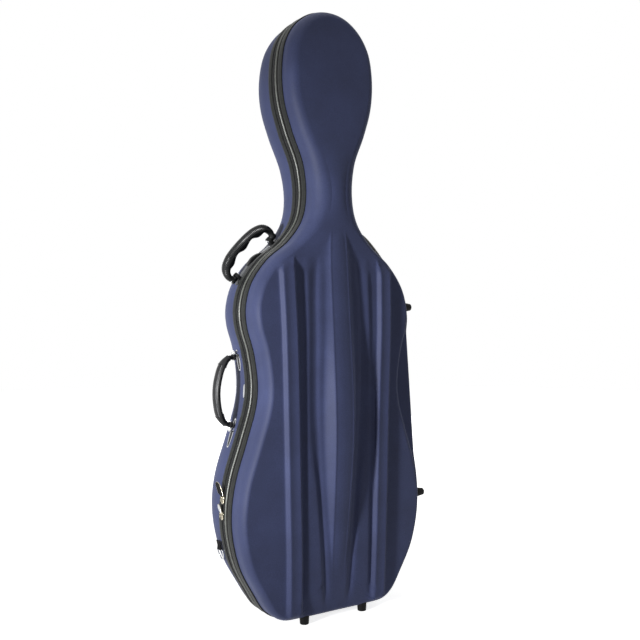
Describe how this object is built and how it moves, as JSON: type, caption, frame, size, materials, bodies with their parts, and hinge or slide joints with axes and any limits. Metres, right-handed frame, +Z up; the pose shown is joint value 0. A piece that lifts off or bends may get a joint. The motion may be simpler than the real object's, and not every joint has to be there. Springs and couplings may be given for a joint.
{
  "type": "cello hard case",
  "caption": "Upright hard case for a full-size cello: two fabric-covered shells, zip all round, hinged lid with ribs and a bulge, three carrying handles, rubber feet and a padded inside.",
  "frame": {"origin": "middle of the whole case's outer box, at the floor that its four bottom feet stand on", "axes": "+Z up along the case, -Y towards the lid, +Y towards the back, +X towards the hinge side, -X towards the side handle and the zip sliders"},
  "size_m": [0.5058, 0.2787, 1.3674],
  "materials": {
    "canvas": "woven nylon cover, navy, slight sheen",
    "binding": "woven edge binding, grey",
    "piping": "extruded welting, satin grey",
    "zip_tape": "woven zip tape and coil, black",
    "black_plastic": "moulded, fine ribs",
    "leather": "stitched, semi-gloss black",
    "rubber": "moulded, matt black",
    "chrome": "polished plate",
    "brass": "nickel-washed die casting",
    "plush": "short pile lining over foam",
    "foam": "covered firm foam",
    "webbing": "black woven band"
  },
  "bodies": {
    "back": {"back_shell": "canvas", "back_binding": "binding", "back_zip_tape": "zip_tape", "back_hinge_tape": "webbing", "foot_bottom_back_left": "rubber", "foot_bottom_back_right": "rubber", "foot_side_back_low": "rubber", "foot_side_back_high": "rubber", "shoulder_handle_base_left": "black_plastic", "shoulder_pin_left_upper": "chrome", "shoulder_pin_left_lower": "chrome", "waist_pad_left": "plush", "shoulder_handle_base_right": "black_plastic", "shoulder_pin_right_upper": "chrome", "shoulder_pin_right_lower": "chrome", "waist_pad_right": "plush", "side_handle_bracket_upper": "chrome", "side_pin_upper": "chrome", "side_handle_bracket_lower": "chrome", "side_pin_lower": "chrome", "waist_plate": "chrome", "strap_tab": "webbing", "body_pad_lower": "plush", "body_pad_upper": "plush", "head_pad": "plush", "neck_rest": "foam", "endpin_block": "foam"},
    "lid": {"lid_shell": "canvas", "lid_binding": "binding", "lid_piping": "piping", "lid_zip_tape": "zip_tape", "lid_hinge_tape": "webbing", "hinge_end_patch_lower": "leather", "hinge_end_patch_upper": "leather", "foot_bottom_lid_left": "rubber", "foot_bottom_lid_right": "rubber", "foot_side_lid_low": "rubber", "foot_side_lid_high": "rubber", "bow_clip_base_left": "black_plastic", "bow_clip_base_right": "black_plastic", "bow_tip_pocket_left": "plush", "bow_tip_pocket_right": "plush"},
    "shoulder_grip_left": {"shoulder_grip_left": "black_plastic"},
    "shoulder_grip_right": {"shoulder_grip_right": "black_plastic"},
    "side_grip": {"side_grip": "leather"},
    "zip_slider_upper": {"zip_slider_upper": "brass"},
    "zip_slider_lower": {"zip_slider_lower": "brass"},
    "zip_pull_upper": {"zip_pull_upper": "rubber"},
    "zip_pull_lower": {"zip_pull_lower": "chrome"},
    "strap_ring": {"strap_ring": "chrome"},
    "bow_clip_left": {"bow_clip_left": "black_plastic"},
    "bow_clip_right": {"bow_clip_right": "black_plastic"},
    "neck_strap": {"neck_strap": "webbing"}
  },
  "joints": [
    {"name": "lid_hinge", "type": "hinge", "parent": "back", "child": "lid", "pos_m": [0.2329, -0.0098, 0.262], "axis": [-0.0777, 0, 0.997], "range_deg": [0, 110]},
    {"name": "shoulder_grip_left_swing", "type": "hinge", "parent": "back", "child": "shoulder_grip_left", "pos_m": [-0.15609, 0.0232, 0.80783], "axis": [0.6986, 0, 0.7155], "range_deg": [-70, 70]},
    {"name": "shoulder_grip_right_swing", "type": "hinge", "parent": "back", "child": "shoulder_grip_right", "pos_m": [0.14249, 0.0232, 0.80783], "axis": [-0.6986, 0, 0.7155], "range_deg": [-70, 70]},
    {"name": "side_grip_swing", "type": "hinge", "parent": "back", "child": "side_grip", "pos_m": [-0.20428, 0.0322, 0.50957], "axis": [0.0567, 0, 0.9984], "range_deg": [-75, 75]},
    {"name": "zip_slider_upper_travel", "type": "slide", "parent": "back", "child": "zip_slider_upper", "axis": [0.1176, 0, 0.9931], "range_m": [0, 0.03]},
    {"name": "zip_slider_lower_travel", "type": "slide", "parent": "back", "child": "zip_slider_lower", "axis": [-0.0068, 0, -1], "range_m": [0, 0.03]},
    {"name": "zip_pull_upper_flip", "type": "hinge", "parent": "zip_slider_upper", "child": "zip_pull_upper", "pos_m": [-0.24871, -0.0098, 0.27861], "axis": [0, -1, 0], "range_deg": [0, 120]},
    {"name": "zip_pull_lower_flip", "type": "hinge", "parent": "zip_slider_lower", "child": "zip_pull_lower", "pos_m": [-0.2508, -0.0098, 0.24404], "axis": [0, -1, 0], "range_deg": [0, 120]},
    {"name": "strap_ring_swing", "type": "hinge", "parent": "back", "child": "strap_ring", "pos_m": [-0.23721, 0.0262, 0.16136], "axis": [0, 1, 0], "range_deg": [0, 150]},
    {"name": "bow_clip_left_turn", "type": "hinge", "parent": "lid", "child": "bow_clip_left", "pos_m": [-0.1188, -0.0738, 0.78], "axis": [0, 1, 0], "range_deg": [0, 90]},
    {"name": "bow_clip_right_turn", "type": "hinge", "parent": "lid", "child": "bow_clip_right", "pos_m": [0.1052, -0.0738, 0.78], "axis": [0, 1, 0], "range_deg": [0, 90]},
    {"name": "neck_strap_lift", "type": "hinge", "parent": "back", "child": "neck_strap", "pos_m": [-0.0438, 0.0048, 0.923], "axis": [0, 0, -1], "range_deg": [0, 75]}
  ]
}
